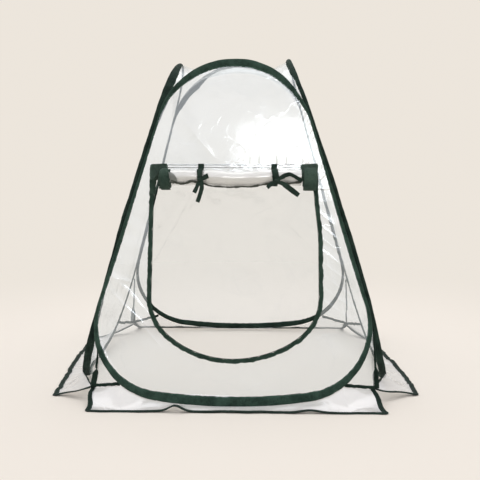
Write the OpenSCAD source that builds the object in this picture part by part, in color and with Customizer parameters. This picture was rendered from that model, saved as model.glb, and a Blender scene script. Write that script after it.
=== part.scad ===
// Pop-up greenhouse. Four sprung hoops in fabric sleeves lean together into a pyramid.
// Clear film fills each hoop and closes the roof between their tops. A zipped door in the
// front film is rolled up and tied, and a flap lies on the ground along each side.
// +Z is up, the ground is z = 0, the middle of the base is the origin, and the door faces -Y.

/* [Overall] */
// Height from the ground to the top of every hoop
height = 800; // [680:5:1000]
// Distance from the middle of the base to the foot of every hoop
foot_reach = 383; // [330:1:460]
// Distance from the upright centre line to the top of every hoop
top_reach = 142; // [110:1:180]

/* [Hoops] */
// Width of a sleeve along the top and the bottom of its hoop
sleeve_w = 20; // [14:1:28]
// Width of a sleeve up a ridge, where two hoops run side by side
ridge_sleeve_w = 9; // [6:1:14]
// Thickness of a sleeve with its flat spring wire inside
sleeve_t = 4; // [3:0.5:6]
// Outer radius of the two bottom corners of a hoop
corner_r = 173; // [140:1:210]
// Outer radius of the long curve along the bottom of a hoop
sweep_r = 1300; // [1000:10:1600]

/* [Film] */
// Thickness of the clear film
film_t = 2; // [1:0.5:3]
// How far the middle of the roof film hangs below the tops of the hoops
roof_sag = 25; // [10:1:60]

/* [Base] */
// How far in from the feet of the hoops the corners of the base lie, along each side
corner_in = 53; // [40:1:70]
// Height of the seam between wall and flap at the base corners
corner_hem_z = 30; // [20:1:45]
// Height at which that seam meets a hoop
hoop_hem_z = 45; // [35:1:60]
// Height of the tape along that seam
hem_w = 8; // [5:1:12]
// Width of the tape down each corner seam
corner_tape_w = 14; // [8:1:20]
// Thickness of the tape down each corner seam
corner_tape_t = 3; // [2:0.5:4]
// Length at the top of each corner seam that the hoops cover
corner_tape_drop = 20; // [15:1:40]

/* [Flaps] */
// How far the front and back flaps reach out from the hoops' feet
front_flap_reach = 30; // [25:1:60]
// How much the front and back flaps narrow towards their outer edge, at each end
front_flap_taper = 0; // [0:1:80]
// How much wider the front flap's right end grows towards its outer edge
front_flap_flare = 22; // [0:1:30]
// How far the side flaps reach out from the hoops' feet
side_flap_reach = 59; // [30:1:80]
// How much the side flaps narrow towards their outer edge, at each end
side_flap_taper = 65; // [0:1:100]
// Width of the binding round each flap
binding_w = 12; // [8:1:18]
// Thickness of the binding round each flap
binding_t = 3; // [2.5:0.5:5]

/* [Door] */
// Least gap at each end of the hem over the doorway, between it and the ridge
door_gap = 9; // [2:1:50]
// How far down from the tops of the hoops the top edge of the doorway lies
door_drop = 260; // [215:5:300]
// Height of the lowest point of the doorway above the ground
door_bottom = 105; // [60:5:160]
// Radius of the bottom corners of the doorway
door_corner_r = 120; // [80:5:140]
// Radius of the curve along the bottom of the doorway
door_sweep_r = 230; // [200:5:300]
// Width of the zip tape round the doorway
zip_w = 10; // [6:1:14]
// Thickness of the zip tape and of the hem over the doorway
tape_t = 1.5; // [1:0.5:2]
// Height of the hem above the top edge of the doorway
header_rise = 6; // [4:1:12]
// Height of the hem below the top edge of the doorway
header_drop = 28; // [24:1:40]
// Width of the square patch at each top corner
patch_w = 42; // [30:1:50]
// Height of the square patch at each top corner
patch_h = 40; // [26:1:50]

/* [Rolled door] */
// Radius of the rolled-up door
roll_r = 22; // [16:0.5:26]
// Length of the rolled zip tape at each end of the roll
zip_roll_l = 30; // [20:1:40]
// Gap between the left end of the roll and the zip tape
left_roll_gap = 15; // [3:1:24]
// Gap between the right end of the roll and the zip tape
right_roll_gap = 3; // [3:1:24]
// How far the top of the roll lies below the top edge of the doorway
roll_drop = 9; // [0:0.5:14]
// Distance of the left tie from the middle of the door
left_tie_at = 78; // [60:1:130]
// Distance of the right tie from the middle of the door
right_tie_at = 97; // [60:1:130]
// Width of the tie ribbon
tie_w = 14; // [10:1:18]
// Width of the loose ends of the ribbon, where they are pinched
tail_w = 12; // [8:1:13]
// Thickness of the tie ribbon and of the corner patches
tie_t = 1.5; // [1:0.5:2]
// Size of the knot in each tie
knot = 13; // [10:1:18]
// Angle round the roll, below its front, at which the knots sit
knot_angle = 35; // [0:5:60]

/* [Hidden] */

fabric = [0.21, 0.27, 0.24];
film = [0.92, 0.93, 0.93, 0.4];

// Numbers of the four sides, each turned a quarter from the one before
front = 0;
right = 1;
back = 2;
left = 3;

// A hoop lies in a plane that leans in by this angle. Places in that plane are [u, v]:
// u runs sideways from its middle and v runs up its slope from the ground.
lean = atan((foot_reach - top_reach) / height);
// Angle in that plane between a ridge and the line of slope
ridge_tilt = atan(sin(lean));
top_v = height / cos(lean);
bottom_v = (binding_t + sleeve_t * sin(lean)) / cos(lean);
sweep_v = bottom_v + sweep_r;

// Straight steps along each kind of curve
sweep_steps = 16;
corner_steps = 18;
top_steps = 36;
door_steps = 14;
flap_steps = 8;
roll_steps = 48;

// Points along an arc; skip = 1 leaves out the last one
function arc(centre, r, from, to, steps, skip = 0) =
    [for (i = [0:steps - skip]) let (a = from + (to - from) * i / steps)
        centre + r * [cos(a), sin(a)]];

// Distance of a hoop's straight sides from the foot of the slope line, square to them
function side_line(side_in) = foot_reach * cos(ridge_tilt) - side_in;

// The top of a hoop is one arc that runs into both sides: [height of its centre, radius]
function top_arc(side_in, end_in) =
    let (centre = (top_v - end_in - side_line(side_in)) / (1 - sin(ridge_tilt)))
    [centre, top_v - end_in - centre];

// A bottom corner is the arc that touches the side and the long bottom curve:
// [centre u, centre v, radius]
function corner_arc(side_in, end_in) =
    let (r = corner_r - (side_in + end_in) / 2,
        reach = sweep_r - end_in - r,
        a = (side_line(side_in) - r) / cos(ridge_tilt),
        t = tan(ridge_tilt),
        m = a * t + sweep_v,
        v = (m - sqrt(m * m - (1 + t * t) * (a * a + sweep_v * sweep_v - reach * reach)))
            / (1 + t * t))
    [a - t * v, v, r];

// Angle at which a corner arc runs into the bottom curve
function corner_end(c) = atan2(c[1] - sweep_v, c[0]);

// Outline of a hoop, drawn in by side_in up the ridges and by end_in at top and bottom
function hoop_outline(side_in, end_in) =
    let (t = top_arc(side_in, end_in), c = corner_arc(side_in, end_in), e = corner_end(c))
    concat(
        arc([0, sweep_v], sweep_r - end_in, -180 - e, e, sweep_steps, 1),
        arc([c[0], c[1]], c[2], e, ridge_tilt, corner_steps),
        arc([0, t[0]], t[1], ridge_tilt, 180 - ridge_tilt, top_steps),
        arc([-c[0], c[1]], c[2], 180 - ridge_tilt, 180 - e, corner_steps, 1));

outer_top = top_arc(0, 0);
outer_corner = corner_arc(0, 0);
outer_end = corner_end(outer_corner);

// Point of the back face of the front hoop. All film beyond the hoops meets that face.
function behind(u, v) = [
    u,
    -foot_reach + v * sin(lean) + sleeve_t * cos(lean),
    v * cos(lean) - sleeve_t * sin(lean)
];
function v_behind(z) = (z + sleeve_t * sin(lean)) / cos(lean);

// Back faces of neighbouring hoops part company at this angle past where an arc of
// radius r leaves the ridge
function parting(r) = acos(1 - sleeve_t * cos(lean) * cos(ridge_tilt) / r);

// Corner arc of a hoop's back face at an angle, drawn in by inset
function on_corner(angle, inset = 0) =
    behind(outer_corner[0] + (outer_corner[2] - inset) * cos(angle),
        outer_corner[1] + (outer_corner[2] - inset) * sin(angle));
function corner_angle(z) = asin((v_behind(z) - outer_corner[1]) / outer_corner[2]);

gusset_top = ridge_tilt - parting(outer_corner[2]);
gusset_end = corner_angle(hoop_hem_z + hem_w);
hem_end = corner_angle(hoop_hem_z);

base_half = foot_reach - corner_in;
seam_top = on_corner(gusset_top);
seam_foot = [base_half, -base_half, corner_hem_z + hem_w];
function on_seam(f, inset = 0) =
    seam_top + f * (seam_foot - seam_top) - inset * [1, -1, 0];

function turned(p, k) = let (a = 90 * k)
    [p[0] * cos(a) - p[1] * sin(a), p[0] * sin(a) + p[1] * cos(a), p[2]];
function mirrored(p) = [-p[0], p[1], p[2]];
function reversed(list) = [for (i = [len(list) - 1:-1:0]) list[i]];
function lowered(list, drop) = [for (p = list) p - [0, 0, drop]];

module side(k) {
    rotate([0, 0, 90 * k]) children();
}

// Puts a flat shape on the front plane: x to u, y to v and z out of the greenhouse
module on_front() {
    translate([0, -foot_reach, 0]) rotate([90 - lean, 0, 0]) children();
}

// Quarter of space that belongs to the front hoop, between two ridges
module front_quarter() {
    far = 2 * foot_reach;
    translate([0, 0, -far]) linear_extrude(4 * far) polygon([[0, 0], [-far, -far], [far, -far]]);
}

// Solid strip between two edges, each a list of points on the face that is seen and a
// list of points behind it. Both have as many points, and to someone who follows edge a
// on the face that is seen, edge b is on the right.
module strip(a, b, a_back, b_back) {
    n = len(a);
    faces = concat(
        [for (i = [0:n - 2], f = [[i, i + 1, n + i], [i + 1, n + i + 1, n + i]]) f],
        [for (i = [0:n - 2], f = [[i, n + i, i + 1], [i + 1, n + i, n + i + 1]])
            f + 2 * n * [1, 1, 1]],
        [for (i = [0:n - 2], f = [[i, 2 * n + i, i + 1], [i + 1, 2 * n + i, 2 * n + i + 1]]) f],
        [for (i = [0:n - 2], f = [[i, i + 1, 2 * n + i], [i + 1, 2 * n + i + 1, 2 * n + i]])
            f + n * [1, 1, 1]],
        [[0, n, 3 * n], [0, 3 * n, 2 * n]],
        [[n - 1, 4 * n - 1, 2 * n - 1], [n - 1, 3 * n - 1, 4 * n - 1]]);
    polyhedron(concat(a, b, a_back, b_back), faces);
}

module hoop(k) {
    color(fabric) side(k) intersection() {
        on_front() translate([0, 0, -sleeve_t]) linear_extrude(sleeve_t) difference() {
            polygon(hoop_outline(0, 0));
            polygon(hoop_outline(ridge_sleeve_w, sleeve_w));
        }
        front_quarter();
    }
}

// The film of a panel lies in the middle of its hoop's thickness
film_face = -(sleeve_t - film_t) / 2;

module panel_film() {
    on_front() translate([0, 0, film_face - film_t]) linear_extrude(film_t) difference() {
        polygon(hoop_outline(ridge_sleeve_w, sleeve_w));
        children();
    }
}

module panel(k) {
    color(film) side(k) panel_film();
}

// The hem over the doorway, with the zip tapes under its ends, spans the panel's film. It
// is cut to a whole number of millimetres each way from the middle.
door_top_v = (height - door_drop) / cos(lean);
door_bottom_v = door_bottom / cos(lean);
header_half = floor((side_line(ridge_sleeve_w) - (door_top_v + header_rise) * sin(ridge_tilt))
    / cos(ridge_tilt) - door_gap);
door_half = header_half - zip_w;

// Outline of the doorway up to top, grown by outward at its sides and bottom
module doorway(outward, top) {
    centre_v = door_bottom_v + door_sweep_r;
    u = door_half - door_corner_r;
    v = centre_v - sqrt(pow(door_sweep_r - door_corner_r, 2) - u * u);
    e = atan2(v - centre_v, u);
    polygon(concat(
        [[door_half + outward, top], [-door_half - outward, top]],
        arc([-u, v], door_corner_r + outward, 180, 180 - e, door_steps, 1),
        arc([0, centre_v], door_sweep_r + outward, -180 - e, e, door_steps, 1),
        arc([u, v], door_corner_r + outward, e, 0, door_steps)));
}

module front_panel() {
    color(film) panel_film() doorway(0, door_top_v);
}

// The roof film hangs from the top arcs of the four hoops, and its rim lies on their
// back faces. It falls away from the middle with the cube of the distance.
roof_rings = 6;
roof_steps = 22;
roof_from = ridge_tilt + parting(outer_top[1]);
roof_corner = outer_top[1] * cos(roof_from);

function roof_rim(drop) =
    [for (k = [0:3], i = [0:roof_steps - 1])
        let (angle = 180 - roof_from - (180 - 2 * roof_from) * i / roof_steps,
            spread = 1 + drop * tan(lean) / roof_corner)
        turned(behind(outer_top[1] * cos(angle) * spread,
            outer_top[0] + outer_top[1] * sin(angle) - drop / cos(lean)), k)];

function roof_layer(drop) =
    let (rim = roof_rim(drop), middle = height - roof_sag - drop)
    concat([[0, 0, middle]],
        [for (j = [1:roof_rings], p = rim) let (f = j / roof_rings)
            [p[0] * f, p[1] * f, middle + (p[2] - middle) * pow(f, 3)]]);

module roof_film() {
    n = 4 * roof_steps;
    under = 1 + n * roof_rings;
    next = [for (i = [1:n]) i % n];
    last = n * (roof_rings - 1);
    top = concat(
        [for (i = [0:n - 1]) [0, 1 + next[i], 1 + i]],
        [for (j = [0:roof_rings - 2], i = [0:n - 1],
            f = [[i, next[i], n + i], [next[i], n + next[i], n + i]]) f + (1 + n * j) * [1, 1, 1]]);
    bottom = [for (f = top) under * [1, 1, 1] + [f[0], f[2], f[1]]];
    rim = [for (i = [0:n - 1], f = [[i, next[i], under + i], [next[i], under + next[i], under + i]])
        f + (1 + last) * [1, 1, 1]];
    color(film) polyhedron(concat(roof_layer(0), roof_layer(film_t)), concat(top, bottom, rim));
}

// Film that closes a base corner, from a hoop's corner arc back to the corner seam. Its
// tip starts a little below the top of the seam, where it has some width.
gusset_steps = 10;
gusset_tip = 0.04;

module right_gusset() {
    parts = [for (i = [0:gusset_steps]) gusset_tip + (1 - gusset_tip) * i / gusset_steps];
    angles = [for (f = parts) gusset_top + f * (gusset_end - gusset_top)];
    strip([for (f = parts) on_seam(f)], [for (a = angles) on_corner(a)],
        [for (f = parts) on_seam(f, film_t)], [for (a = angles) on_corner(a, film_t)]);
}

module gusset(k, on_left) {
    color(film) side(k) mirror([on_left ? 1 : 0, 0, 0]) right_gusset();
}

// Tape folded over a corner seam, standing out along the diagonal. It meets the hem tapes
// at its foot, and above them it keeps clear of the gussets, which bulge beside the seam.
module corner_tape(k) {
    top = on_seam(corner_tape_drop / (seam_top[2] - seam_foot[2]));
    clear = [corner_tape_t / 2, 0];
    out = clear + [corner_tape_w, 0];
    function along(p) = [p[0] * sqrt(2), p[2]];
    color(fabric) side(k) rotate([90, 0, -45]) translate([0, 0, -corner_tape_t / 2])
        linear_extrude(corner_tape_t) polygon([
            along(flap_corner), along(flap_corner) + out, along(top) + out, along(top) + clear,
            along(seam_foot) + clear, along(seam_foot)]);
}

// Tape along the seam from a base corner to the hoop, under the gusset
module right_hem_bar() {
    down = [0, 0, hem_w];
    strip([on_seam(1), on_seam(1) - down], [on_corner(gusset_end), on_corner(hem_end)],
        [on_seam(1, film_t), on_seam(1, film_t) - down],
        [on_corner(gusset_end, film_t), on_corner(hem_end, film_t)]);
}

module hem_tape(k) {
    color(fabric) side(k) {
        right_hem_bar();
        mirror([1, 0, 0]) right_hem_bar();
    }
}

flap_corner = seam_foot - [0, 0, hem_w];
hem_meet = on_corner(hem_end);
flap_corner_in = flap_corner
    + binding_w * (hem_meet - flap_corner) / norm(hem_meet - flap_corner);

// Inner edge of a flap from the middle to its right end, along the hoop and the hem
flap_edge = concat(
    [for (p = arc([0, sweep_v], sweep_r, -90, outer_end, flap_steps, 1)) behind(p[0], p[1])],
    [for (i = [0:flap_steps]) on_corner(outer_end + (hem_end - outer_end) * i / flap_steps)],
    [flap_corner_in]);

// Place where a flap's end reaches the binding along its outer edge
function flap_end(reach, taper) =
    let (y = foot_reach + reach - binding_w)
    [base_half - taper * (y - base_half) / (corner_in + reach), -y, binding_t];

module flap(k, reach, left_taper, right_taper) {
    left_end = flap_end(reach, left_taper) - [binding_w, 0, 0];
    right_end = flap_end(reach, right_taper) - [binding_w, 0, 0];
    inner = concat([for (p = reversed(flap_edge)) mirrored(p)],
        [for (i = [1:len(flap_edge) - 1]) flap_edge[i]]);
    outer = [for (p = inner) let (end = p[0] < 0 ? left_end : right_end)
        [p[0] * end[0] / flap_corner_in[0], end[1], end[2]]];
    color(film) side(k) strip(inner, outer, lowered(inner, film_t), lowered(outer, film_t));
}

module right_end_binding(reach, taper) {
    end = flap_end(reach, taper);
    a = [flap_corner, end];
    b = [flap_corner_in, end - [binding_w, 0, 0]];
    strip(a, b, lowered(a, binding_t), lowered(b, binding_t));
}

module flap_binding(k, reach, left_taper, right_taper) {
    left_end = flap_end(reach, left_taper);
    right_end = flap_end(reach, right_taper);
    color(fabric) side(k) {
        linear_extrude(binding_t) polygon([[left_taper - base_half, -foot_reach - reach],
            [base_half - right_taper, -foot_reach - reach],
            [right_end[0], right_end[1]], [-left_end[0], left_end[1]]]);
        right_end_binding(reach, right_taper);
        mirror([1, 0, 0]) right_end_binding(reach, left_taper);
    }
}

// The zip tape goes round the doorway on the face of the film and ends under the hem
header_v = door_top_v - header_drop;

module door_zip_tape() {
    color(fabric) on_front() translate([0, 0, film_face]) linear_extrude(tape_t) difference() {
        doorway(zip_w, header_v);
        doorway(0, header_v);
    }
}

module door_header() {
    color(film) on_front() translate([-header_half, header_v, film_face])
        cube([2 * header_half, header_drop + header_rise, tape_t]);
}

patch_face = film_face + tape_t;

module door_patch(way) {
    color(fabric) on_front()
        translate([way * (header_half - patch_w / 2), door_top_v + header_rise - patch_h / 2,
            patch_face + tie_t / 2])
        cube([patch_w, patch_h, tie_t], center = true);
}

// The roll rests against the corner patches, just under the top edge of the doorway
roll_v = door_top_v - roll_drop - roll_r;
roll_out = patch_face + tie_t + roll_r;
roll_left = -(door_half - left_roll_gap - zip_roll_l);
roll_right = door_half - right_roll_gap - zip_roll_l;

module roll_piece(r, from, to) {
    on_front() translate([from, roll_v, roll_out]) rotate([0, 90, 0])
        cylinder(r = r, h = to - from, $fn = roll_steps);
}

module rolled_door() {
    color(film) roll_piece(roll_r, roll_left, roll_right);
}

module zip_roll(from) {
    color(fabric) roll_piece(roll_r, from, from + zip_roll_l);
}

// A tie goes round the roll and up over the hem. Each of its tails and bows leaves the
// knot as a flat length of ribbon: [angle from straight down towards +X, length].
module tie(at, tails) {
    ring_r = roll_r + tie_t;
    color(fabric) {
        difference() {
            roll_piece(ring_r, at - tie_w / 2, at + tie_w / 2);
            roll_piece(roll_r, at - tie_w, at + tie_w);
        }
        on_front() translate([at - tie_w / 2, roll_v, patch_face])
            cube([tie_w, door_top_v + header_rise - roll_v, tie_t]);
        on_front() translate([at, roll_v, roll_out]) rotate([knot_angle, 0, 0])
            translate([0, 0, ring_r + knot / 2 - tie_t]) {
                cube([knot, knot, knot], center = true);
                for (tail = tails) rotate([0, 0, tail[0]])
                    translate([-tail_w / 2, -tail[1], -tie_t / 2])
                    cube([tail_w, tail[1], tie_t]);
            }
    }
}

left_tails = [[-24, 30], [-4, 52], [115, 24]];
right_tails = [[-70, 24], [60, 56], [110, 40]];

module left_tie() {
    tie(-left_tie_at, left_tails);
}

module right_tie() {
    tie(right_tie_at, right_tails);
}

hoop(front);  // front_hoop
hoop(right);  // right_hoop
hoop(back);  // back_hoop
hoop(left);  // left_hoop
front_panel();
panel(right);  // right_panel
panel(back);  // back_panel
panel(left);  // left_panel
roof_film();
gusset(front, true);  // front_left_gusset
gusset(front, false);  // front_right_gusset
gusset(right, true);  // right_front_gusset
gusset(right, false);  // right_back_gusset
gusset(back, true);  // back_right_gusset
gusset(back, false);  // back_left_gusset
gusset(left, true);  // left_back_gusset
gusset(left, false);  // left_front_gusset
corner_tape(left);  // front_left_corner_tape
corner_tape(front);  // front_right_corner_tape
corner_tape(right);  // back_right_corner_tape
corner_tape(back);  // back_left_corner_tape
hem_tape(front);  // front_hem_tape
hem_tape(right);  // right_hem_tape
hem_tape(back);  // back_hem_tape
hem_tape(left);  // left_hem_tape
flap(front, front_flap_reach, front_flap_taper, -front_flap_flare);  // front_flap
flap(right, side_flap_reach, side_flap_taper, side_flap_taper);  // right_flap
flap(back, front_flap_reach, front_flap_taper, front_flap_taper);  // back_flap
flap(left, side_flap_reach, side_flap_taper, side_flap_taper);  // left_flap
flap_binding(front, front_flap_reach, front_flap_taper, -front_flap_flare);  // front_flap_binding
flap_binding(right, side_flap_reach, side_flap_taper, side_flap_taper);  // right_flap_binding
flap_binding(back, front_flap_reach, front_flap_taper, front_flap_taper);  // back_flap_binding
flap_binding(left, side_flap_reach, side_flap_taper, side_flap_taper);  // left_flap_binding
door_zip_tape();
door_header();
door_patch(-1);  // left_door_patch
door_patch(1);  // right_door_patch
rolled_door();
zip_roll(roll_left - zip_roll_l);  // left_zip_roll
zip_roll(roll_right);  // right_zip_roll
left_tie();
right_tie();
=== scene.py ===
"""Pop-up greenhouse, 0.8 m high. Four sprung hoops in dark green sleeves lean together, clear film
fills them and closes the roof, the zipped door of the front is rolled up and tied, and a flap of
film lies on the ground along each side. Metres; +Z is up and the doorway faces -Y."""
import math

import bpy
import numpy as np
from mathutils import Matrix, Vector


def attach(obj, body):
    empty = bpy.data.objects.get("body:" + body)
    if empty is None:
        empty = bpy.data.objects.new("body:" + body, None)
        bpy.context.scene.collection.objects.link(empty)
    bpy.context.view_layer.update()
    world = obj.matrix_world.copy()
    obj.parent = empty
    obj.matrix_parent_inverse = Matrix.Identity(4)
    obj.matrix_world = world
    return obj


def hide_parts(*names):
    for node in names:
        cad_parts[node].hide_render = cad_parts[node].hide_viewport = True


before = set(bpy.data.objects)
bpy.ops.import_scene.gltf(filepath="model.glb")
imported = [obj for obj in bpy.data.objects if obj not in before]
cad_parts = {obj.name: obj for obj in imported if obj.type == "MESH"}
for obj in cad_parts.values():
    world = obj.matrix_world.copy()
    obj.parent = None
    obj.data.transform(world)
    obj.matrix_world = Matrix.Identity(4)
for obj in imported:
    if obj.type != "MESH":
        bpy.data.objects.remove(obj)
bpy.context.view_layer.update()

# ---------------------------------------------------------------------------------------------
# Camera. It stands two metres in front of the doorway, a little to the right, at the height of
# someone who kneels, and looks slightly down.
eye = bpy.data.objects.new("camera", bpy.data.cameras.new("camera"))
eye.data.sensor_width = 36
eye.data.lens = 63
eye.location = (0.067, -2.224, 0.62)
eye.rotation_euler = (math.pi / 2 - 0.1272, 0, 0.0261)
bpy.context.scene.collection.objects.link(eye)
bpy.context.scene.camera = eye
bpy.context.scene.view_settings.view_transform = "Standard"


# ---------------------------------------------------------------------------------------------
# Studio. A pale floor runs out into a pale surround under a light ceiling. A broad lamp hangs
# overhead to the left, and a strip lamp in front of the doorway, which the front film mirrors.
class Value:
    """A socket of a material's nodes. Arithmetic on values adds Math nodes."""

    def __init__(self, tree, socket=None):
        self.tree, self.socket = tree, socket

    def node(self, kind, settings=(), inputs=(), out=0):
        """Adds a node of a type: first its settings, then the values or links of its sockets."""
        made = self.tree.nodes.new(kind)
        for name, setting in dict(settings).items():
            if name == "stops":
                ramp = made.color_ramp.elements
                while len(ramp) < len(setting):
                    ramp.new(1)
                for element, (place, colour) in zip(ramp, setting):
                    element.position, element.color = place, colour
            else:
                setattr(made, name, setting)
        for name, value in dict(inputs).items():
            if isinstance(value, Value):
                self.tree.links.new(value.socket, made.inputs[name])
            else:
                made.inputs[name].default_value = value
        return Value(self.tree, made.outputs[out] if made.outputs else None)

    def math(self, operation, *terms):
        """A Math node of this operation on the terms."""
        return self.node("ShaderNodeMath", {"operation": operation}, enumerate(terms))

    def __add__(self, other):
        return self.math("ADD", self, other)

    def __sub__(self, other):
        return self.math("SUBTRACT", self, other)

    def __rsub__(self, other):
        return self.math("SUBTRACT", other, self)

    def __mul__(self, other):
        return self.math("MULTIPLY", self, other)

    __radd__ = __add__
    __rmul__ = __mul__


def blank(name):
    """A material with no nodes yet, and the value that adds them."""
    made = bpy.data.materials.new(name)
    made.use_nodes = True
    made.node_tree.nodes.clear()
    return made, Value(made.node_tree)


def span(value, low, high, to_low=0.0, to_high=1.0):
    """A value eased from one range to another, and held at its ends."""
    return value.node("ShaderNodeMapRange", {"interpolation_type": "SMOOTHSTEP"}, {
        "Value": value, "From Min": low, "From Max": high, "To Min": to_low, "To Max": to_high})


def mix(factor, a, b):
    """A colour between two others."""
    return factor.node("ShaderNodeMix", {"data_type": "RGBA"},
                       {"Factor": factor, "A": a, "B": b}, out="Result")


surround = (0.845, 0.789, 0.717, 1)
floor_colour = (0.895, 0.830, 0.761, 1)

floor_paint, v = blank("floor")
away = v.node("ShaderNodeVectorMath", {"operation": "LENGTH"},
              {0: v.node("ShaderNodeTexCoord", out="Object")}, out="Value")
matt = v.node("ShaderNodeBsdfDiffuse", inputs={"Color": floor_colour})
glow = v.node("ShaderNodeEmission", inputs={"Color": surround})
v.node("ShaderNodeOutputMaterial", inputs={
    "Surface": v.node("ShaderNodeMixShader", inputs={0: span(away, 0.6, 1.8), 1: matt, 2: glow})})

bpy.ops.mesh.primitive_plane_add(size=24)
floor = bpy.context.object
floor.name = "floor"
floor.data.materials.append(floor_paint)

world = bpy.data.worlds.new("studio")
bpy.context.scene.world = world
world.use_nodes = True
world.node_tree.nodes.clear()
v = Value(world.node_tree)
up = v.node("ShaderNodeSeparateXYZ", inputs={0: v.node("ShaderNodeTexCoord", out="Generated")},
            out="Z")
seen = v.node("ShaderNodeLightPath", out="Is Camera Ray")
seen = v.math("MAXIMUM", seen, v.node("ShaderNodeLightPath", out="Is Glossy Ray"))
seen = v.math("MAXIMUM", seen, v.node("ShaderNodeLightPath", out="Is Transmission Ray"))
light = v.node("ShaderNodeBackground", inputs={
    "Color": (1, 1, 1, 1), "Strength": span(up, 0.0, 0.7, 0.42, 0.88)})
view = v.node("ShaderNodeBackground", inputs={
    "Color": mix(span(up, 0.3, 0.62), surround, (1.6, 1.56, 1.62, 1))})
v.node("ShaderNodeOutputWorld", inputs={
    "Surface": v.node("ShaderNodeMixShader", inputs={0: seen, 1: light, 2: view})})


def lamp(name, place, target, size, glow_strength):
    """A rectangular lamp that faces target. Its power gives its face that radiance."""
    data = bpy.data.lights.new(name, "AREA")
    data.shape = "RECTANGLE"
    data.size, data.size_y = size
    data.energy = glow_strength * math.pi * size[0] * size[1]
    made = bpy.data.objects.new(name, data)
    made.location = place
    made.rotation_euler = (Vector(target) - Vector(place)).to_track_quat("-Z", "Y").to_euler()
    bpy.context.scene.collection.objects.link(made)


lamp("overhead", (0, 0.5, 2.5), (0, 0, 0.2), (3.2, 1.3), 1.25)
lamp("strip", (0.405, -2.75, 2.15), (0, 0, 0.55), (0.94, 0.40), 5.2)


# ---------------------------------------------------------------------------------------------
# Hoops. A flat spring-steel wire runs in a closed hoop inside a folded sleeve of dark green
# woven cloth. The sleeve's inner edge is stitched flat over the edge of the film, and up the
# ridges the sleeves of two hoops lie side by side.
height = 0.8
foot_reach = 0.383
top_reach = 0.142
sleeve_w = 0.020
ridge_sleeve_w = 0.009
sleeve_t = 0.004
corner_r = 0.173
sweep_r = 1.3
ground_gap = 0.003
sweep_n, corner_n, ridge_n, crown_n = 104, 92, 140, 148
crown_start = sweep_n + corner_n + ridge_n
line_n = crown_start + crown_n + ridge_n + corner_n

lean = math.atan((foot_reach - top_reach) / height)
tilt = math.atan(math.sin(lean))
top_v = height / math.cos(lean)
sweep_v = (ground_gap + sleeve_t * math.sin(lean)) / math.cos(lean) + sweep_r


def ease(x):
    """0 below 0, 1 above 1, and a smooth step between."""
    x = np.clip(x, 0, 1)
    return x * x * (3 - 2 * x)


def arc(u, v, r, start, end, count):
    """Points round (u, v) from one angle to another, without the last."""
    turn = np.linspace(start, end, count, endpoint=False)
    return np.stack([u + r * np.cos(turn), v + r * np.sin(turn)], 1)


def straight(a, b, count):
    """Points from a to b, without the last."""
    return np.linspace(a, b, count, endpoint=False)


def unit(ways):
    """Directions at length 1."""
    return ways / np.linalg.norm(ways, axis=1)[:, None]


def length_along(points):
    """Distance along a path to each of its points."""
    return np.concatenate([[0], np.cumsum(np.linalg.norm(np.diff(points, axis=0), axis=1))])


def corner_arc(side_in=0.0, end_in=0.0):
    """Middle (u, v) and radius of a bottom corner, which touches the ridge and the long bottom arc,
    and the angle at which it runs into that arc."""
    r = corner_r - (side_in + end_in) / 2
    t, reach = math.tan(tilt), sweep_r - end_in - r
    a = foot_reach - (side_in + r) / math.cos(tilt)
    m = a * t + sweep_v
    v = (m - math.sqrt(m * m - (1 + t * t) * (a * a + sweep_v ** 2 - reach ** 2))) / (1 + t * t)
    return a - t * v, v, r, math.atan2(v - sweep_v, a - t * v)


def crown_arc(side_in=0.0, end_in=0.0):
    """Height of the middle and radius of the round crown, which runs into both ridges."""
    side = foot_reach * math.cos(tilt) - side_in
    v = (top_v - end_in - side) / (1 - math.sin(tilt))
    return v, top_v - end_in - v


def hoop_line(side_in=0.0, end_in=0.0):
    """Outline of a hoop in its own plane, drawn in by side_in up the ridges and by end_in at top
    and bottom: a long shallow arc, a corner arc, a straight ridge, a round crown, and back down.
    Point number and place go together whatever the insets."""
    u, v, r, end = corner_arc(side_in, end_in)
    crown_v, crown_r = crown_arc(side_in, end_in)
    foot = np.array([u + r * math.cos(tilt), v + r * math.sin(tilt)])
    shoulder = np.array([crown_r * math.cos(tilt), crown_v + crown_r * math.sin(tilt)])
    left = np.array([-1, 1])
    return np.concatenate([
        arc(0, sweep_v, sweep_r - end_in, -math.pi - end, end, sweep_n),
        arc(u, v, r, end, tilt, corner_n),
        straight(foot, shoulder, ridge_n),
        arc(0, crown_v, crown_r, tilt, math.pi - tilt, crown_n),
        straight(shoulder * left, foot * left, ridge_n),
        arc(-u, v, r, math.pi - tilt, math.pi - end, corner_n)])


def turned(points, k):
    """Points turned k quarters about the upright middle line."""
    c, s = [(1, 0), (0, 1), (-1, 0), (0, -1)][k]
    return points @ np.array([[c, s, 0], [-s, c, 0], [0, 0, 1.0]])


def on_side(k, u, v, out):
    """Places in space of the side's own places: u sideways, v up its slope, and out of its face.
    The face starts foot_reach from the middle and leans in."""
    u, v, out = np.broadcast_arrays(u, v, out)
    return turned(np.stack([u, v * math.sin(lean) - foot_reach - out * math.cos(lean),
                            v * math.cos(lean) + out * math.sin(lean)], -1), k)


def way_on_front(u, v, out):
    """A direction given in the front's own places."""
    return on_side(0, u, v, out) - on_side(0, 0.0, 0.0, 0.0)


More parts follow.
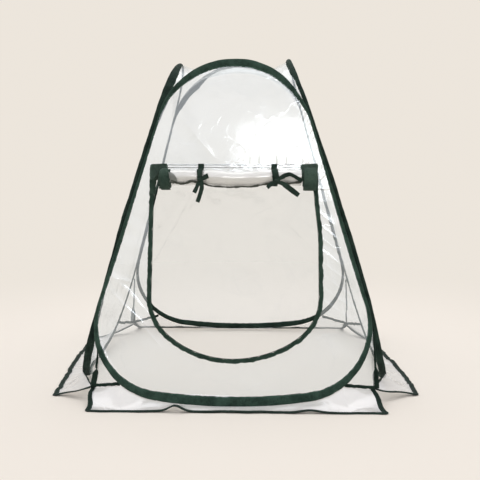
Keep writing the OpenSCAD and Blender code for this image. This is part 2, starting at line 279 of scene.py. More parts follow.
def grid_faces(rows, columns, wrap, fans, turn_over):
    """Corner numbers of the faces of a grid, and for each edge row or column named in fans, of
    the triangles that close it to one more point."""
    number = np.arange(rows * columns).reshape(rows, columns)
    if wrap[0]:
        number = np.concatenate([number, number[:1]])
    if wrap[1]:
        number = np.concatenate([number, number[:, :1]], 1)
    quads = np.stack([number[:-1, :-1], number[:-1, 1:], number[1:, 1:], number[1:, :-1]], -1)
    faces = quads.reshape(-1, 4).tolist()
    edges = {"bottom": number[0, ::-1], "top": number[-1], "start": number[:, 0],
             "end": number[::-1, -1]}
    for count, name in enumerate(fans):
        edge = edges[name]
        tip = np.full(len(edge) - 1, rows * columns + count)
        faces += np.stack([edge[:-1], edge[1:], tip], 1).tolist()
    return [face[::-1] for face in faces] if turn_over else faces


def shell(points, wrap=(False, False), fans=(), turn_over=False, across=None):
    """A grid of points (rows, columns, 3) as vertices, faces and flat cloth coordinates in
    metres. Length runs along the columns and width over the rows."""
    rows, columns = points.shape[:2]
    ring = {"bottom": points[0], "top": points[-1], "start": points[:, 0], "end": points[:, -1]}
    vertices = np.concatenate([points.reshape(-1, 3)] + [ring[name].mean(0)[None] for name in fans])
    faces = grid_faces(rows, columns, wrap, fans, turn_over)
    middle = points[rows // 2]
    step = np.linalg.norm(np.diff(middle, axis=0, append=middle[:1]), axis=1)
    along = np.concatenate([[0], np.cumsum(step)])[:columns + wrap[1]]
    if across is None:
        side = points[:, columns // 2]
        step = np.linalg.norm(np.diff(side, axis=0, append=side[:1]), axis=1)
        across = np.concatenate([[0], np.cumsum(step)])[:rows + wrap[0]]
    across = np.broadcast_to(np.reshape(across, (len(across), -1)), (len(across), len(along)))
    flat = np.stack([np.broadcast_to(along, across.shape), across], -1)
    rim = {"bottom": flat[0], "top": flat[-1], "start": flat[:, 0], "end": flat[:, -1]}
    spots = np.concatenate([flat.reshape(-1, 2)] + [rim[name].mean(0)[None] for name in fans])
    corners = grid_faces(rows + wrap[0], columns + wrap[1], (False, False), fans, turn_over)
    return vertices, faces, spots[np.concatenate(corners)]


def piece(name, shells, paint, slot, *nodes):
    """One piece of the greenhouse from its shells, in place of CAD nodes."""
    vertices, faces, spots, start = [], [], [], 0
    for more, corners, flat in shells:
        vertices.append(more)
        spots.append(flat)
        faces += [[corner + start for corner in face] for face in corners]
        start += len(more)
    mesh = bpy.data.meshes.new(name)
    mesh.from_pydata(np.concatenate(vertices).tolist(), [], faces)
    mesh.uv_layers.new(name="cloth").data.foreach_set("uv", np.concatenate(spots).ravel())
    mesh.polygons.foreach_set("use_smooth", [True] * len(faces))
    mesh.materials.append(paint)
    mesh.update()
    made = bpy.data.objects.new(name, mesh)
    bpy.context.scene.collection.objects.link(made)
    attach(made, "root")
    if nodes:
        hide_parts(*nodes)
    return made


def waves(place, seed, count, low, high):
    """Uneven waves along a line or over a surface: a sum of sines of lengths from low to high,
    each higher the longer it is, in directions and phases drawn from the seed. place is one
    array of distances, or two for a surface. The waves are about 1 high."""
    draw = np.random.default_rng(seed)
    length = np.exp(draw.uniform(math.log(low), math.log(high), count))
    turn = draw.uniform(0, math.pi, count) if len(place) > 1 else np.zeros(count)
    phase = draw.uniform(0, 2 * math.pi, count)
    heading = np.stack([np.cos(turn), np.sin(turn)])[:len(place)]
    spread = np.tensordot(np.stack(np.broadcast_arrays(*place), -1), heading / length, 1)
    high_at = np.sqrt(length / length.sum())
    return (high_at * np.sin(2 * math.pi * spread + phase)).sum(-1)


def woven(name, dark, light, rib=0.0, thread=0.0006, stitches=(), relief=0.0002):
    """Woven cloth. Colour runs from dark to light with the threads and a fine fuzz about 4 mm across, and
    with broad soft blotches about 30 mm across that are painted shade and highlight of the cloth's folds;
    rib is the pitch of cross ribs, thread that of a plain weave, and stitches are the distances from the
    cloth's edge at which rows of dashes run."""
    paint, v = blank(name)
    flat = v.node("ShaderNodeUVMap", {"uv_map": "cloth"})
    along = v.node("ShaderNodeSeparateXYZ", inputs={0: flat}, out="X")
    across = v.node("ShaderNodeSeparateXYZ", inputs={0: flat}, out="Y")
    place = v.node("ShaderNodeTexCoord", out="Object")
    fine = v.node("ShaderNodeTexNoise", inputs={"Vector": place, "Scale": 260.0, "Detail": 3.0})
    broad = v.node("ShaderNodeTexNoise", inputs={"Vector": place, "Scale": 38.0, "Detail": 3.0})

    def wave(distance, pitch):
        """A sine that repeats at the pitch."""
        return v.math("SINE", distance * (2 * math.pi / pitch))

    relief_map = wave(along, thread) * wave(across, thread) * 0.5 + 0.5
    if rib:
        relief_map = relief_map * 0.3 + (wave(along, rib) * 0.35 + 0.35)
    # The broad noise in this mix is painted shade and highlight of soft folds; the threads and the fine
    # noise are the cloth's own tone.
    shade = relief_map * 0.35 + fine * 0.45 + broad * 0.75
    colour = mix(span(shade, 0.45, 1.1), dark, light)
    for place_of in stitches:
        off = v.math("ABSOLUTE", across - place_of)
        dash = span(wave(along, 0.0036), -0.5, 0.1) * span(off, 0.0009, 0.0004)
        colour = mix(dash * 0.7, colour, tuple(2.2 * c for c in light[:3]) + (1,))
        relief_map = relief_map + dash * 1.5
    bump = v.node("ShaderNodeBump", inputs={
        "Strength": 0.8, "Distance": relief, "Height": relief_map + fine * 0.6})
    cloth = v.node("ShaderNodeBsdfPrincipled", inputs={
        "Base Color": colour, "Roughness": span(fine, 0.3, 0.7, 0.72, 0.92),
        "Normal": bump, "Sheen Weight": 0.03, "Sheen Roughness": 0.5, "IOR": 1.2})
    v.node("ShaderNodeOutputMaterial", inputs={"Surface": cloth})
    return paint


sleeve_cloth = woven("sleeve cloth", (0.009, 0.021, 0.015, 1), (0.052, 0.098, 0.075, 1),
                     thread=0.0007, stitches=[0.0022])
# The side hoops' sleeves are the same cloth painted darker: painted shade, for sleeves that stand on edge
# to the light.
sleeve_cloth_painted_darker = woven("sleeve cloth painted darker as shade", (0.005, 0.012, 0.009, 1), (0.030, 0.056, 0.043, 1),
                   thread=0.0007, stitches=[0.0022])

outer, inner = hoop_line(), hoop_line(ridge_sleeve_w, sleeve_w)
spoke = unit(inner - outer)
run = length_along(outer)
whole_run = run[-1] + np.linalg.norm(outer[0] - outer[-1])
from_middle = run - np.interp(0.0, outer[:sweep_n, 0], run[:sweep_n])

# How a sleeve lies at places along its hoop, from the middle of its bottom: the place of its
# folded edge and of its stitched edge, each inwards and out of the hoop's plane, and half its
# thickness, all in millimetres but the places, which are in metres. It lies flat in the plane, or
# stands on edge along a ridge, and the side hoops' sleeves are drawn in there, beside the front's.
front_lay = [(0.00, -2, -2, 21, -2, 2.7), (0.17, -1, -2, 21, -2, 2.7),
             (0.47, 0.8, -0.7, 10.5, -2.2, 3.0), (0.95, 0.8, -0.7, 10.5, -2.2, 3.0),
             (1.08, 0.5, -2, 21, -2, 2.7)]
left_lay = [(0.00, 1, -2, 20, -2, 2.6), (0.10, 1, -2, 20, -2, 2.6), (0.17, 1.5, -2, 7, -18, 3.0),
            (0.36, 3.5, -1, 7.5, -19, 3.0), (0.47, 5, -1, 10, -12, 2.8), (0.53, 4.8, 0.5, 10.8, -4, 2.6),
            (0.60, 3, 4, 9, -3, 2.4), (0.68, 1.5, 7.5, 8, -2, 2.4), (0.86, 2.6, 8.5, 9.1, -3, 2.4),
            (0.92, 4.7, 9, 10.5, -5, 2.4), (0.99, 5, 9.5, 9, -12, 2.6), (1.08, 2.5, 9, 5, -11.5, 2.6),
            (1.14, 3, 6, 6, -8, 2.4), (1.19, 3.5, 1, 9, -4, 2.4), (1.26, 1, -2, 18, -2, 2.6),
            (1.44, 0.8, -0.7, 10.5, -2.2, 2.2),
            (1.92, 0.8, -0.7, 10.5, -2.2, 2.2), (2.20, 1, -2, 20, -2, 2.6)]
right_lay = [(0.00, 1, -2, 20, -2, 2.6), (0.10, 1, -2, 20, -2, 2.6), (0.17, 1.5, -2, 7, -18, 3.0),
             (0.33, 2, -1, 6, -18, 3.0), (0.42, 2, 3, 7, -12, 2.8), (0.48, 2, 7, 8, -4, 2.6),
             (0.60, 1.5, 9, 8, -2.5, 2.4), (0.76, 2, 8.5, 8.5, -2.5, 2.4), (0.87, 4.5, 6, 10, -3, 2.4),
             (0.95, 5.6, 3.5, 9.6, -6, 2.5), (1.02, 3.2, 1.5, 7.7, -8.5, 2.6), (1.06, 0, 0.5, 4, -11, 2.6),
             (1.09, -1.5, -0.5, 3, -16, 2.6), (1.14, -5.5, -1, -1, -17, 2.6),
             (1.20, -10, -2, -6, -13, 2.4), (1.24, -8, -3, -2, -7, 2.4), (1.30, -3, -2, 14, -2, 2.6),
             (1.36, 1.5, -2, 18, -2, 2.6), (1.44, 2.4, -0.7, 12, -2.2, 2.2),
             (1.52, 0.8, -0.7, 10.5, -2.2, 2.2),
             (1.92, 0.8, -0.7, 10.5, -2.2, 2.2), (2.20, 1, -2, 20, -2, 2.6)]
back_lay = [(0.00, 1, -2, 20, -2, 2.6), (0.17, 1, -2, 20, -2, 2.6), (0.38, 1.5, 0, 14, -3, 2.6),
            (0.50, 1.5, 7, 8, -2, 2.2), (0.93, 1.5, 7.5, 8, -2, 2.2), (0.965, 1, 3, 13, -2, 2.4),
            (1.00, 1, -2, 22, -2, 2.6), (1.075, 1, -2, 22, -2, 2.6), (1.115, -1, 3, 7, -6, 2.4),
            (1.15, -3.5, 6, 2, -7, 2.2), (1.19, -5, 7, 0, -7, 2.2),
            (1.36, -4, 7, 1, -7, 2.2), (1.48, 1.5, 7, 8, -2, 2.2), (1.90, 1.5, 7, 8, -2, 2.2),
            (2.02, 1.5, 0, 14, -3, 2.6), (2.22, 1, -2, 20, -2, 2.6)]


def lay_along(k):
    """How the sleeve of hoop k lies at every place round it, in metres. The side hoops are given
    from their front ridge on, and the front hoop is alike on both sides, but for its right
    shoulder, which is pulled in by 6.5 mm."""
    table = np.array([front_lay, right_lay, back_lay, left_lay][k])
    if k == 0:
        other_half = table[:0:-1] * (-1, 1, 1, 1, 1, 1) + (whole_run, 0, 0, 0, 0, 0)
        table = np.concatenate([table, other_half])
    at = (from_middle * (-1 if k == 1 else 1)) % whole_run
    lay = [np.interp(at, table[:, 0], table[:, i], period=whole_run) / 1000 for i in range(1, 6)]
    if k == 0:
        pulled = 0.0065 * np.exp(-((at - 1.01) / 0.055) ** 2)
        lay[0], lay[2] = lay[0] + pulled, lay[2] + pulled
    return lay


def on_edge(k):
    """1 where the sleeve of hoop k stands on edge, 0 where it lies flat."""
    _, out_a, _, out_b, _ = lay_along(k)
    return ease((np.abs(out_b - out_a) - 0.003) / 0.004)


def sewn(k):
    """Where roof and gussets are sewn to the sleeve of hoop k, inwards and out: to its back where
    it lies flat, and to its stitched edge where it stands on edge."""
    in_a, _, in_b, out_b, _ = lay_along(k)
    return in_a + (in_b - in_a) * on_edge(k), -0.0036 + (out_b + 0.0044) * on_edge(k)


profile_steps = 26
round_by = 2 * math.pi * np.arange(profile_steps) / profile_steps
over = ((1 - np.cos(round_by)) / 2)[:, None]
face = np.sign(np.sin(round_by)).round()[:, None]
whole_turn = (1 - np.cos(2 * math.pi * np.arange(profile_steps + 1) / profile_steps)) / 2


def sleeve(k):
    """A flattened tube with a stitched edge, carried round the hoop from its folded edge to its
    stitched edge. Half its thickness is the root of the sum of squares of a half ellipse over the
    tube and of the flat edge; folds 20 to 90 mm and puckers 7 to 30 mm long cross it."""
    in_a, out_a, in_b, out_b, fat = lay_along(k)
    wide = np.hypot(in_b - in_a, out_b - out_a)
    way_in, way_out = (in_b - in_a) / wide, (out_b - out_a) / wide
    start = 0.0004 * waves([run], 40 + k, 24, 0.02, 0.2)
    far = wide + 0.0004 * waves([run], 50 + k, 60, 0.007, 0.06)
    tube = (far - np.interp(wide, [0.01, 0.02], [0.0016, 0.0030])) / far
    overlap = ease((outer[:, 0] - 0.03) / 0.01) * (1 - ease((outer[:, 0] - 0.055) / 0.003))
    fat = fat + 0.0006 * overlap * (outer[:, 1] < 0.1)
    fat = fat * (1 + 0.14 * waves([run], 60 + k, 40, 0.012, 0.08))
    bow = 1 - np.clip(2 * over / tube - 1, -1, 1) ** 2
    half = np.sqrt(fat ** 2 * bow ** 0.9 + 0.0004 ** 2 * (1 - over ** 8) * (1 - (1 - over) ** 8))
    fold = 0.0005 * waves([run], 75 + k, 30, 0.02, 0.09) * (over - 0.3)
    pucker = 0.0005 * waves([run], 70 + k, 80, 0.007, 0.03) * ease(2.2 * over - 0.9)
    along, off = start + over * (far - start), face * half + fold + pucker
    inwards = in_a + way_in * along - way_out * off
    out = out_a + way_out * along + way_in * off
    u, v = outer[:, 0] + spoke[:, 0] * inwards, outer[:, 1] + spoke[:, 1] * inwards
    from_edge = (1 - whole_turn)[:, None] * np.append(far, far[0])
    return shell(on_side(k, u, v, out), wrap=(True, True), across=from_edge)


sides = ["front", "right", "back", "left"]
for k, side in enumerate(sides):
    # The side hoops take the darker copy of the cloth, which is painted shade.
    piece(side + "_sleeve", [sleeve(k)], sleeve_cloth_painted_darker if k else sleeve_cloth, "sleeve_fabric",
          side + "_hoop")


# ---------------------------------------------------------------------------------------------
# Walls. Each hoop holds a sheet of clear soft film, stretched flat but slightly slack, with
# long soft waves, a few sharp creases and a faint milkiness.
def film(name, cover, milk=(0.90, 0.96, 1.0, 1), mirror=0.45, crumple=1.0, rough=0.07,
         stretch=(1, 1, 1), tint=(0.975, 0.99, 1.0, 1)):
    """Clear soft film. It lets most light straight through; cover is the share that it stops,
    part scattered and part mirrored. A net of fine creases and soft cloudy patches, all crumple
    strong and drawn out by stretch, bends the mirrored light and makes the film milkier."""
    paint, v = blank(name)
    place = v.node("ShaderNodeVectorMath", {"operation": "MULTIPLY"}, {
        0: v.node("ShaderNodeTexCoord", out="Object"), 1: stretch})
    cloud = v.node("ShaderNodeTexNoise", inputs={
        "Vector": place, "Scale": 9.0, "Detail": 3.0, "Distortion": 0.6})
    warp = v.node("ShaderNodeTexNoise", inputs={
        "Vector": place, "Scale": 14.0, "Detail": 2.0}, out="Color")
    warped = v.node("ShaderNodeVectorMath", {"operation": "MULTIPLY_ADD"}, {
        0: warp, 1: (0.08, 0.08, 0.05), 2: place})
    net = v.node("ShaderNodeTexVoronoi", {"feature": "DISTANCE_TO_EDGE"}, {
        "Vector": warped, "Scale": 11.0}, out="Distance")
    small = v.node("ShaderNodeTexVoronoi", {"feature": "DISTANCE_TO_EDGE"}, {
        "Vector": warped, "Scale": 31.0}, out="Distance")
    patches = span(cloud, 0.46, 0.66)
    crease = span(net, 0.035, 0.0) * span(cloud, 0.38, 0.62)
    fine = span(small, 0.05, 0.0) * patches
    soft = v.node("ShaderNodeTexNoise", inputs={"Vector": place, "Scale": 22.0, "Detail": 1.0})
    relief = (soft * 0.15 + crease * 0.20 + fine * 0.10) * crumple
    bump = v.node("ShaderNodeBump", inputs={
        "Strength": 1.0, "Distance": 0.0006, "Height": relief})
    shown = cover + (crease * 0.04 + fine * 0.02 + patches * 0.04) * crumple
    skin = v.node("ShaderNodeBsdfPrincipled", inputs={
        "Base Color": milk, "Metallic": mirror, "IOR": 1.5, "Normal": bump,
        "Roughness": span(cloud, 0.3, 0.7, rough, rough + 0.05)})
    clear = v.node("ShaderNodeBsdfTransparent", inputs={"Color": tint})
    shadow = v.node("ShaderNodeLightPath", out="Is Shadow Ray")
    v.node("ShaderNodeOutputMaterial", inputs={"Surface": v.node("ShaderNodeMixShader", inputs={
        0: shown * (shadow * 0.1 + 1), 1: clear, 2: skin})})
    return paint


clear_film = film("clear film", 0.24)
tuck = 0.0015
film_out = -sleeve_t / 2
middle_v = 0.34


def film_rim(k):
    """Edge of the film of side k, in (u, v): just inside the stitched edge of its sleeve where
    that lies flat, and where the film's plane meets it where it stands on edge."""
    in_a, out_a, in_b, out_b, _ = lay_along(k)
    rise = np.where(np.abs(out_b - out_a) < 0.001, -0.001, out_b - out_a)
    share = np.clip((film_out - out_a) / rise, 0, 1)
    inwards = in_b - tuck + on_edge(k) * (in_a + (in_b - in_a) * share - in_b + tuck)
    return outer[:, 0] + spoke[:, 0] * inwards, outer[:, 1] + spoke[:, 1] * inwards


def cut_size(u, v):
    """Flat width and length of a cut outline, and its area by the shoelace rule."""
    area = abs(np.sum(u * np.roll(v, -1) - v * np.roll(u, -1))) / 2
    return (float(np.ptp(u)), float(np.ptp(v))), float(area)


def laid_area(points):
    """Area of a grid of points, by half the cross product of each cell's diagonals."""
    a, b = points[1:, 1:] - points[:-1, :-1], points[1:, :-1] - points[:-1, 1:]
    return float(np.linalg.norm(np.cross(a, b), axis=-1).sum() / 2)


def crease(u, v, start, end, high, wide):
    """A ridge of film from one place to another: high on its line, falling away to the sides as a
    power of e and dying out fast past its ends."""
    start, end = np.array(start), np.array(end)
    half = np.linalg.norm(end - start) / 2
    way = (end - start) / (2 * half)
    du, dv = u - (start + end)[0] / 2, v - (start + end)[1] / 2
    along, side = du * way[0] + dv * way[1], dv * way[0] - du * way[1]
    return high * np.exp(-np.abs(side) / wide - (along / half) ** 4)


def slack(u, v, fall, seed, loose=1.0):
    """How far stretched film stands out of flat: soft waves, loose strong, held to nothing at its
    rim, where fall is 0, and free at 1."""
    long_waves = 0.0013 * waves([u, v], seed, 7, 0.12, 0.34)
    short_waves = 0.0003 * waves([u, v], seed + 1, 12, 0.03, 0.1)
    return (long_waves + short_waves) * ease(fall * 5) * loose


def wall(k):
    """Film of a plain side: rings from the hoop's line in to one point, each at a share of the
    way, thrown out of flat by the slack."""
    rim_u, rim_v = film_rim(k)
    share = np.linspace(0, 1, 76)[:-1, None]
    u = rim_u * (1 - share)
    v = rim_v + (middle_v - rim_v) * share
    out = film_out + slack(u, v, share, 100 + 10 * k)
    folds = [((-0.30, 0.20), (-0.10, 0.42), 0.0016, 0.006), ((0.31, 0.16), (0.12, 0.50), 0.0014, 0.005),
             ((0.05, 0.60), (0.16, 0.40), 0.0010, 0.006), ((-0.02, 0.12), (0.20, 0.22), 0.0012, 0.005)]
    if k == 1:
        folds += [((-0.20, 0.62 - 0.055 * i), (-0.10 + 0.02 * (i % 3), 0.50 - 0.06 * i), 0.0011, 0.004)
                  for i in range(8)]
    for start, end, high, wide in folds:
        out = out + crease(u, v, start, end, high, wide) * ease(share * 8)
    return shell(on_side(k, u, v, out), wrap=(False, True), fans=["top"])


for k, side in enumerate(sides[1:], 1):
    sheet = piece(side + "_wall", [wall(k)], clear_film, "clear_film", side + "_panel")
    size, area = cut_size(*film_rim(k))

# ---------------------------------------------------------------------------------------------
# Front wall. The same film, with a doorway cut out of it: straight sides, round bottom corners
# and a shallow round sill. The film is tighter over the doorway and puckers along its hem.
door_half = 0.190
door_top_v = (height - 0.260) / math.cos(lean)
door_bottom_v = 0.105 / math.cos(lean)
door_corner_r = 0.120
door_sweep_r = 0.230


def doorway(outward=0.0, fine=1):
    """The U of the doorway from its top left corner down, round the sill and up to its top right
    corner, grown outward: straight sides, corner arcs and a wide arc, in (u, v). Its right side
    is pulled 10 mm further out below the roll."""
    centre = door_bottom_v + door_sweep_r
    u = door_half - door_corner_r
    v = centre - math.sqrt((door_sweep_r - door_corner_r) ** 2 - u * u)
    end = math.atan2(v - centre, u)
    side = door_half + outward
    line = np.concatenate([
        straight((-side, door_top_v), (-side, v), 100 * fine),
        arc(-u, v, door_corner_r + outward, math.pi, math.pi - end, 60 * fine),
        arc(0, centre, door_sweep_r + outward, -math.pi - end, end, 40 * fine),
        arc(u, v, door_corner_r + outward, end, 0, 60 * fine),
        straight((side, v), (side, door_top_v), 100 * fine), [(side, door_top_v)]])
    line[:, 0] += 0.010 * ease(line[:, 0] / 0.15) * ease((door_top_v - 0.05 - line[:, 1]) / 0.14)
    return line


def by_angle(line, turn):
    """Places on a closed line around the middle of the doorway, at given angles from it."""
    at = np.arctan2(line[:, 1] - middle_v, line[:, 0])
    order = np.argsort(at)
    return np.stack([np.interp(turn, at[order], line[order, i], period=2 * math.pi) for i in (0, 1)])


hole_in = 0.004
lintel = straight((door_half + hole_in, door_top_v + hole_in),
                  (-door_half - hole_in, door_top_v + hole_in), 160)
hole = np.concatenate([doorway(hole_in, 2), lintel])
rim_u, rim_v = film_rim(0)
turn = np.arctan2(rim_v - middle_v, rim_u)
hole_u, hole_v = by_angle(hole, turn)
share = np.linspace(0, 1, 90)[:, None]
u = rim_u + (hole_u - rim_u) * share
v = rim_v + (hole_v - rim_v) * share
free = 4 * share * (1 - share)
out = film_out + slack(u, v, free, 100, 0.05 + 0.7 * ease((0.5 - v) / 0.1))
far = share * np.hypot(hole_u - rim_u, hole_v - rim_v)
upper_right = ease((rim_u - 0.06) / 0.06) * ease((rim_v - 0.50) / 0.1)
upper_right = upper_right * (1 - ease((rim_v - 0.78) / 0.04))
seam_pucker = ease(far / 0.004) * np.exp(-far / 0.012) * waves([run], 150, 40, 0.009, 0.035)
out = out + 0.0005 * upper_right * seam_pucker
pull = ease((v - 0.568) / 0.006) * np.exp(-np.clip(v - 0.575, 0, 1) / 0.028)
out = out + 0.00035 * pull * waves([u], 140, 14, 0.010, 0.035) * ease((u - 0.01) / 0.14)
front_folds = [((-0.310, 0.325), (-0.215, 0.235), 0.0020, 0.004),
               ((-0.290, 0.300), (-0.235, 0.285), 0.0016, 0.004),
               ((0.225, 0.500), (0.330, 0.170), 0.0012, 0.007),
               ((0.215, 0.350), (0.262, 0.190), 0.0014, 0.005),
               ((-0.140, 0.700), (-0.050, 0.590), 0.0008, 0.008),
               ((-0.262, 0.287), (-0.155, 0.168), 0.0015, 0.003),
               ((-0.280, 0.262), (-0.175, 0.148), 0.0012, 0.003),
               ((-0.250, 0.232), (-0.200, 0.185), 0.0012, 0.003)]
front_folds += [((0.204, 0.452 - 0.029 * i), (0.240 + 0.006 * i, 0.420 - 0.032 * i), 0.0006, 0.0022)
                for i in range(8)]
for start, end, high, wide in front_folds:
    out = out + crease(u, v, start, end, high, wide) * ease(free * 4)
sheet = piece("front_wall", [shell(on_side(0, u, v, out), wrap=(False, True))], clear_film,
              "clear_film", "front_panel")
size, area = cut_size(rim_u, rim_v)
area - cut_size(hole_u, hole_v)[1]

# ---------------------------------------------------------------------------------------------
# Roof. One sheet of the same film closes the top between the four crowns. It is sewn to the
# backs of their sleeves and dips in the middle. Flat, each line from its middle out to the seam
# keeps its length.
roof_sag = 0.025
back_out = -sleeve_t
crown_v, crown_r = crown_arc()


def parting(r):
    """Angle past a ridge at which the backs of two neighbouring hoops part."""
    return math.acos(1 - sleeve_t * math.cos(lean) * math.cos(tilt) / r)


angles = np.linspace(math.pi - tilt - parting(crown_r), tilt + parting(crown_r), 72, endpoint=False)
station = np.interp(angles, np.linspace(tilt, math.pi - tilt, crown_n + 1),
                    np.arange(crown_start, crown_start + crown_n + 1))
rim = []
for k in range(4):
    inset, out = [np.interp(station, np.arange(line_n), value) for value in sewn(k)]
    reach = crown_r - inset
    rim.append(on_side(k, reach * np.cos(angles), crown_v + reach * np.sin(angles), out))
rim = np.concatenate(rim)
share = np.linspace(1, 0, 61)[:-1, None]
centre_z = height - roof_sag
roof = np.stack([rim[:, 0] * share, rim[:, 1] * share,
                 centre_z + (rim[:, 2] - centre_z) * share ** 3], -1)
over_roof = [roof[..., 0], roof[..., 1]]
roof[..., 2] += ease((1 - share) * 6) * (0.0010 * waves(over_roof, 180, 8, 0.06, 0.2)
                                         + 0.0004 * waves(over_roof, 181, 10, 0.02, 0.05))
sheet = piece("roof", [shell(roof, wrap=(False, True), fans=["top"])], clear_film,
              "clear_film", "roof_film")
reach = np.linalg.norm(np.diff(roof, axis=0), axis=-1).sum(0)
bearing = np.arctan2(rim[:, 1], rim[:, 0])
size, area = cut_size(reach * np.cos(bearing), reach * np.sin(bearing))
laid_area(np.concatenate([roof, roof[:, :1]], 1))

# ---------------------------------------------------------------------------------------------
# Base corners. Between two hoops' bottom corners a pair of film gussets closes the wall. They
# meet in a seam, bound in folded green tape that stands out from it and turns flat at its foot,
# and a narrow tape runs along their lower edge.
corner_in = 0.053
corner_hem_z = 0.030
hoop_hem_z = 0.045
hem_w, hem_t = 0.008, 0.0016
corner_tape_w, corner_tape_t = 0.014, 0.0022
corner_tape_top_w = 0.0055
base_half = foot_reach - corner_in
bend_u, bend_v, bend_r, bend_end = corner_arc()


def on_corner(angle, inset=0.0):
    """Places on the back of the front hoop's right corner."""
    reach = bend_r - inset
    return on_side(0, bend_u + reach * np.cos(angle), bend_v + reach * np.sin(angle), back_out)


def corner_angle(z):
    """Angle round a hoop's bottom corner at which its back is at height z."""
    return math.asin(((z + sleeve_t * math.sin(lean)) / math.cos(lean) - bend_v) / bend_r)


gusset_top = tilt - parting(bend_r)
gusset_foot = corner_angle(hoop_hem_z + hem_w)
hem_foot = corner_angle(hoop_hem_z)
seam_top = on_corner(gusset_top)
seam_foot = np.array([base_half, -base_half, corner_hem_z + hem_w])


def seam(k, part):
    """Places down a corner seam, in the frame of a side k that ends in it. The front left seam is
    drawn towards the front hoop."""
    bow = np.array([-1, 0, 0] if k % 2 == 0 else [0, 1, 0])
    drawn = 0.013 * np.sin(math.pi * part ** 0.8) + 0.006 * part
    return seam_top + part[..., None] * (seam_foot - seam_top) + drawn[..., None] * bow


def plain_seam(part):
    """Places down a corner seam that runs straight."""
    return seam_top + part[..., None] * (seam_foot - seam_top)


def gusset(k, on_left):
    """Film from the corner seam to where it is sewn to the hoop: straight across, and blown out
    by up to 4 mm halfway, most near its foot."""
    down = np.linspace(0.02, 1, 60)[None, :]
    side = np.linspace(0, 1, 24)[:, None]
    line = seam(k, down) if (k, on_left) in ((0, True), (3, False)) else plain_seam(down)
    angle = gusset_top + down * (gusset_foot - gusset_top)
    stations = (slice(line_n - 1, line_n - 1 - corner_n, -1) if on_left
                else slice(sweep_n, sweep_n + corner_n))
    angles = np.linspace(bend_end, tilt, corner_n)
    inset, out = [np.interp(angle, angles, value[stations]) for value in sewn(k)]
    reach = bend_r - inset
    hoop = on_side(0, bend_u + reach * np.cos(angle), bend_v + reach * np.sin(angle), out)
    points = line + side[..., None] * (hoop - line)
    uneven = 0.0012 * waves([down * 0.2, side * 0.08], 200 + k, 6, 0.03, 0.1)
    blown = 4 * side * (1 - side) * (0.004 * down + uneven)
    points = points + blown[..., None] * np.array([0.6, -0.8, 0])
    if on_left:
        points = points * np.array([-1, 1, 1])
    return turned(points, k)


gussets = [("front", "left"), ("front", "right"), ("right", "front"), ("right", "back"),
           ("back", "right"), ("back", "left"), ("left", "back"), ("left", "front")]
for number, (side, end) in enumerate(gussets):
    k, on_left = sides.index(side), number % 2 == 0
    points = gusset(k, on_left)
    sheet = piece(f"{side}_{end}_gusset_film", [shell(points, turn_over=not on_left)], clear_film,
                  "clear_film", f"{side}_{end}_gusset")
    laid_area(points)

binding_cloth = woven("binding cloth", (0.003, 0.008, 0.006, 1), (0.018, 0.036, 0.027, 1),
                      rib=0.0016, thread=0.0008, stitches=[0.0022])


def smoothed(points, times):
    """Points of a path, each drawn times over to the mean of itself and its neighbours."""
    for _ in range(times):
        points = np.concatenate([points[:1], (points[:-2] + 2 * points[1:-1] + points[2:]) / 4,
                                 points[-1:]])
    return points


def even(points, step):
    """Places a step apart along a path through points."""
    run = length_along(points)
    at = np.linspace(0, run[-1], max(3, round(run[-1] / step)))
    return np.stack([np.interp(at, run, points[:, i]) for i in range(points.shape[1])], 1)


def band(path, across, width, thick, square=0.4, steps=16, edge=0.0, seed=0):
    """A flat band carried along a path: at each place a loop, width wide along across and thick
    the other way, whose rounded corners are a power of the circle's. Its edges wander by edge."""
    across = np.broadcast_to(np.asarray(across, float), path.shape)
    ahead = unit(np.gradient(path, axis=0))
    across = unit(across - (across * ahead).sum(1)[:, None] * ahead)
    up = np.cross(ahead, across)
    round_by = 2 * math.pi * np.arange(steps) / steps
    c, s = np.cos(round_by)[:, None, None], np.sin(round_by)[:, None, None]
    c, s = np.sign(c) * np.abs(c) ** 0.7, np.sign(s) * np.abs(s) ** square
    run = length_along(path)
    half = np.broadcast_to(np.asarray(width, float) / 2, run.shape)[None, :, None]
    half = half + edge * waves([run], seed, 20, 0.006, 0.05)[None, :, None] * (c > 0)
    half = half + edge * waves([run], seed + 1, 20, 0.006, 0.05)[None, :, None] * (c < 0)
    thick = np.broadcast_to(np.asarray(thick, float) / 2, run.shape)[None, :, None]
    points = path + across * half * c + up * thick * s
    wide = float(np.max(half)) * 2
    from_edge = wide / 2 * (1 - np.abs(np.append(c.ravel(), c.ravel()[0])))
    return shell(points, wrap=(True, False), fans=["start", "end"], turn_over=True, across=from_edge)


flap_corner = seam_foot - (0, 0, hem_w)


def turned_band(k, path, across, width, thick, seed):
    """A band of tape given in the frame of side 0 and turned to side k."""
    return band(turned(path, k), turned(np.broadcast_to(across, path.shape), k), width, thick,
                edge=0.0004, seed=seed)


def corner_tape(k):
    """Tape down the corner seam, edge outwards, that turns to lie flat over its foot: over the
    front at the two front corners."""
    part = np.linspace(0.12, 1, 40)
    line = seam(k, part) if k == 3 else plain_seam(part)
    foot = flap_corner + (0, 0, 0.002) + line[-1] - seam_foot
    path = even(np.concatenate([line, [foot]]), 0.003)
    part = np.linspace(0, 1, len(path))
    low = ease((part - 0.62) / 0.16)
    twist = low * math.radians(124 if k == 3 else 50)
    across = np.stack([np.cos(math.pi / 4 - twist), -np.sin(math.pi / 4 - twist), 0 * part], 1)
    width = corner_tape_top_w + (corner_tape_w - corner_tape_top_w) * low
    shift = width * (0.5 - (0.62 if k == 3 else 0.35) * low) + 0.001
    path = path + across * shift[:, None]
    if k == 3:
        path[:, 0] += 0.005 * low
    return turned_band(k, path, across, width, corner_tape_t, 220 + 2 * k)


corners = [("front_right", 0), ("back_right", 1), ("back_left", 2), ("front_left", 3)]
for name, k in corners:
    piece(name + "_corner_binding", [corner_tape(k)], binding_cloth, "binding_tape",
          name + "_corner_tape")

